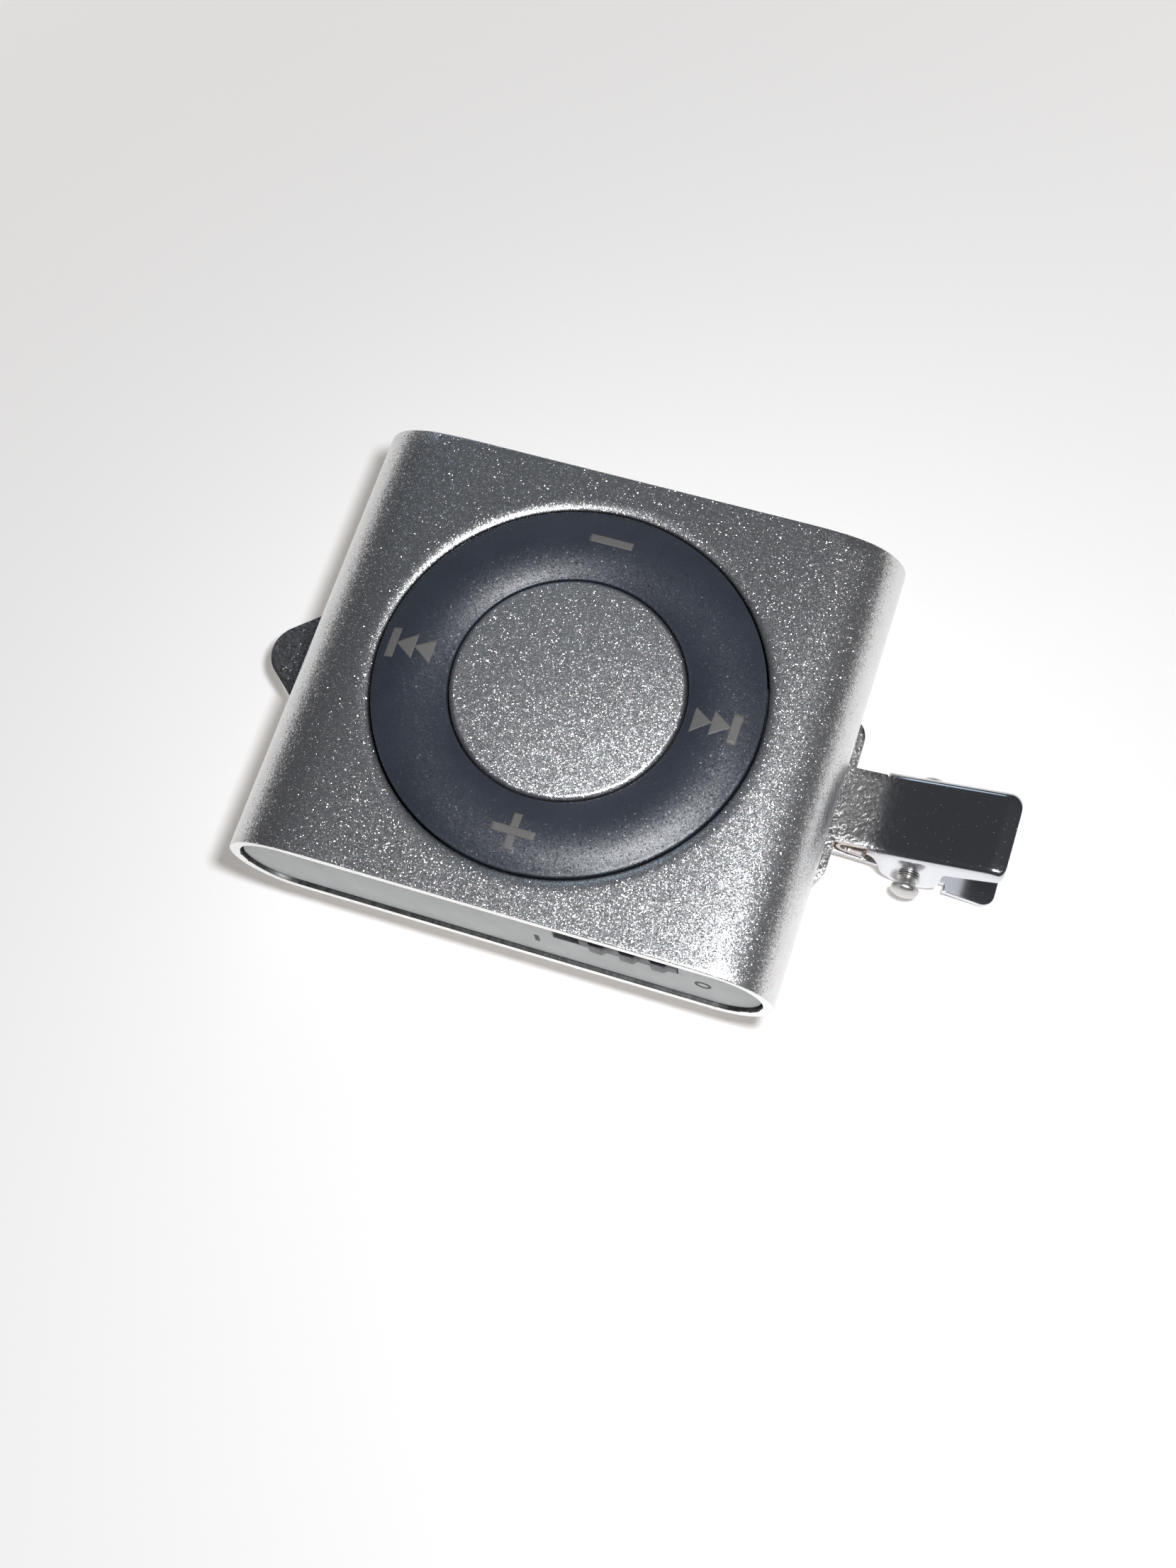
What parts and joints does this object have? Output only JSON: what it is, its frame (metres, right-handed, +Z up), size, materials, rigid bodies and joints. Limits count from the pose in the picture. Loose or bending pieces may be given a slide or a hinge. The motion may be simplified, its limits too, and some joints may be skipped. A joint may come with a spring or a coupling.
{
  "type": "digital audio player",
  "caption": "Flat aluminium clip-on audio player with a crowned control ring round a metal centre button, a slide switch in its end, a headphone socket and a sprung metal clip on the back.",
  "frame": {"origin": "bottom centre of the whole player as it lies on its clip", "axes": "+X along the clip towards its finger levers, +Y towards the end with the sockets, +Z up out of the control face"},
  "size_m": [0.057, 0.034, 0.0139],
  "materials": {
    "sleeve": "bead-blasted, satin",
    "cap_plastic": "matt",
    "frame_plastic": "matt",
    "board_laminate": "gloss",
    "screw_steel": "satin",
    "chip_resin": "matt",
    "can_metal": "satin",
    "ceramic": "satin",
    "led_lens": "clear",
    "key_plastic": "satin",
    "battery_foil": "crinkled foil",
    "tape": "matt",
    "lead_jacket": "satin",
    "jack_plastic": "satin",
    "contact_metal": "satin",
    "usb_steel": "satin",
    "knob_plastic": "satin",
    "pad_rubber": "matt",
    "ring_plastic": "soft satin",
    "button_metal": "sparkling satin",
    "clip_steel": "nickel plated, worn",
    "pin_steel": "bright",
    "spring_steel": "pale bronze, satin"
  },
  "bodies": {
    "player": {"housing_sleeve": "sleeve", "switch_end_cap": "cap_plastic", "port_end_cap": "cap_plastic", "chassis": "frame_plastic", "circuit_board": "board_laminate", "board_screws": "screw_steel", "main_chip": "chip_resin", "memory_chip": "chip_resin", "crystal": "can_metal", "board_capacitors": "ceramic", "status_led": "led_lens", "key_switches": "key_plastic", "battery": "battery_foil", "battery_tape": "tape", "battery_leads": "lead_jacket", "audio_jack": "jack_plastic", "jack_terminals": "contact_metal", "usb_shell": "usb_steel", "usb_tongue": "jack_plastic", "slide_switch_shell": "can_metal", "clip_base": "clip_steel", "clip_rivets": "pin_steel", "clip_pin": "pin_steel", "clip_spring": "spring_steel"},
    "pad": {"ring_pad": "pad_rubber"},
    "ring": {"control_ring": "ring_plastic"},
    "button": {"centre_button": "button_metal"},
    "slider": {"switch_knob": "knob_plastic", "switch_actuator": "frame_plastic"},
    "jaw": {"clip_jaw": "clip_steel"}
  },
  "joints": [
    {"name": "ring_rock_track", "type": "hinge", "parent": "player", "child": "pad", "pos_m": [-0.00398, 0, 0.00993], "axis": [0, 1, 0], "range_deg": [-1, 1], "stiffness_Nm_per_rad": 0.2},
    {"name": "ring_rock_volume", "type": "hinge", "parent": "pad", "child": "ring", "pos_m": [-0.00398, 0, 0.01183], "axis": [1, 0, 0], "range_deg": [-1, 1], "stiffness_Nm_per_rad": 0.2},
    {"name": "centre_press", "type": "slide", "parent": "player", "child": "button", "axis": [0, 0, -1], "range_m": [0, 0.00025], "stiffness_N_per_m": 1500},
    {"name": "power_slide", "type": "slide", "parent": "player", "child": "slider", "axis": [-1, 0, 0], "range_m": [0, 0.00185]},
    {"name": "clip_open", "type": "hinge", "parent": "player", "child": "jaw", "pos_m": [0.02198, 0.0004, 0.0024], "axis": [0, -1, 0], "range_deg": [0, 22], "stiffness_Nm_per_rad": 0.3, "springref_deg": -20.05, "deforming": ["clip_spring"]}
  ]
}
